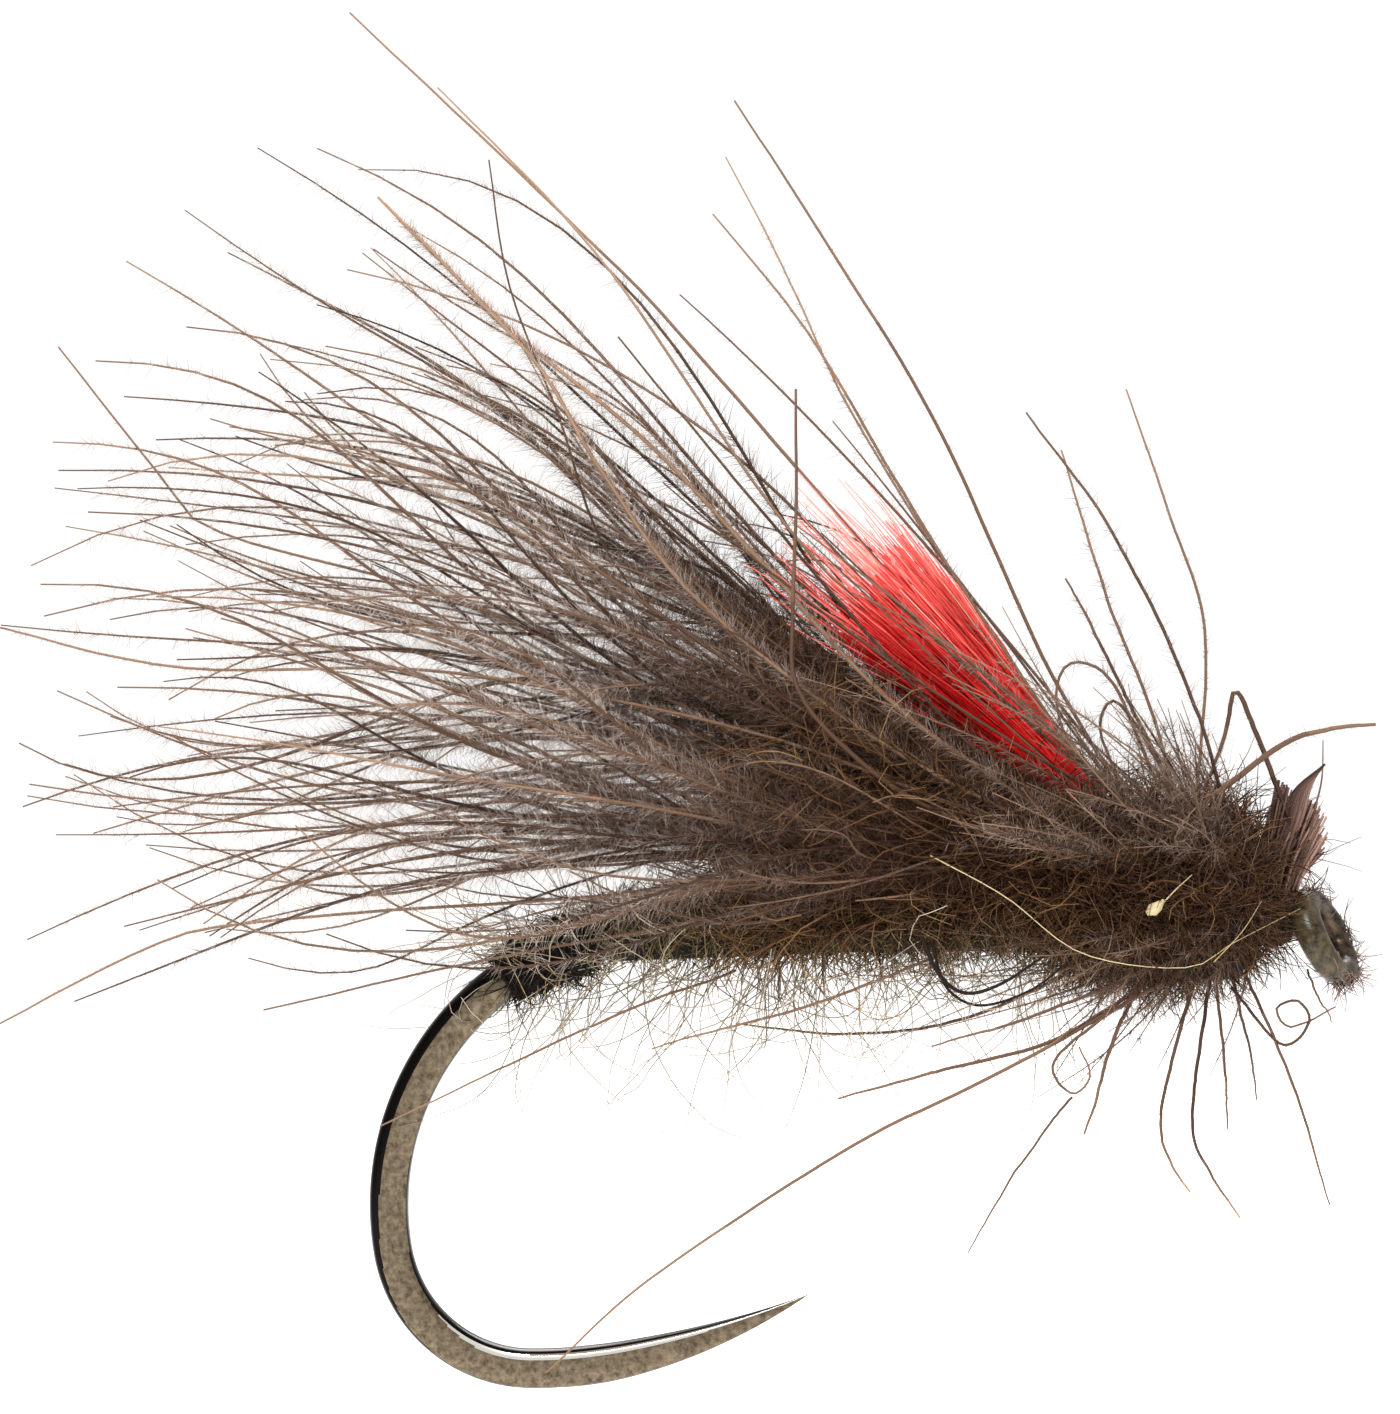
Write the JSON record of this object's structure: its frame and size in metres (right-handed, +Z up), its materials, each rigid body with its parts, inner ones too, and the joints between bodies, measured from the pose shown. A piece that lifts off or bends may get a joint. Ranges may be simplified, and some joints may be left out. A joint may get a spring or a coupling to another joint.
{
  "type": "dry fly",
  "caption": "Sedge-type dry fly for fishing: barbless hook, dubbed body, down-feather wing, bright sighter tuft and feather-barb hackle, ready to tie on by its eye.",
  "frame": {"origin": "centre of the hole in the hook eye", "axes": "+X from the bend to the eye along the straight hook shank, +Z up from the point side to the shank side, Y across the width of the fly with +Y on the far side when the eye points right"},
  "size_m": [0.0185, 0.0123, 0.0166],
  "materials": {
    "hook_steel": "black nickel plate over forged carbon steel, worn paler on the flats",
    "thread": "dark brown-black waxed tying thread",
    "dubbing_olive": "olive-brown dubbed fur, hairy",
    "dubbing_dark": "dark brown dubbed fur and feather fibre, matted",
    "feather_butts": "mauve-brown feather stems trimmed short",
    "wing_feather": "grey-brown down feather, matt and slightly see-through at the ends",
    "sighter_yarn": "bright red poly yarn, brushed out, paler at the tips",
    "hackle_barb": "brown-grey feather barbs",
    "guard_hair": "straw-coloured stiff hair",
    "head_varnish": "clear varnish, olive where it runs onto the eye"
  },
  "bodies": {
    "fly_body": {"hook": "hook_steel", "thread_base": "thread", "butt_wraps": "thread", "abdomen_dubbing": "dubbing_olive", "wing_lashing": "thread", "sighter_lashing": "thread", "sighter_butt": "sighter_yarn", "trimmed_butts": "feather_butts", "thorax_dubbing": "dubbing_dark", "head_wraps": "thread", "head_varnish": "head_varnish", "hackle_upper": "hackle_barb", "hackle_lower": "hackle_barb", "guard_hairs": "guard_hair"},
    "wing": {"wing_feather_near_low": "wing_feather", "wing_feather_near_high": "wing_feather", "wing_feather_far_low": "wing_feather", "wing_feather_far_high": "wing_feather"},
    "sighter": {"sighter_yarn": "sighter_yarn"}
  },
  "joints": [
    {"name": "wing_flex", "type": "hinge", "parent": "fly_body", "child": "wing", "pos_m": [-0.003, 0, 0.0012], "axis": [0, 1, 0], "range_deg": [-3, 18], "stiffness_Nm_per_rad": 0.00006},
    {"name": "sighter_flex", "type": "hinge", "parent": "wing", "child": "sighter", "pos_m": [-0.0035, 0, 0.0021], "axis": [0, 1, 0], "range_deg": [0, 25], "stiffness_Nm_per_rad": 0.000015}
  ]
}
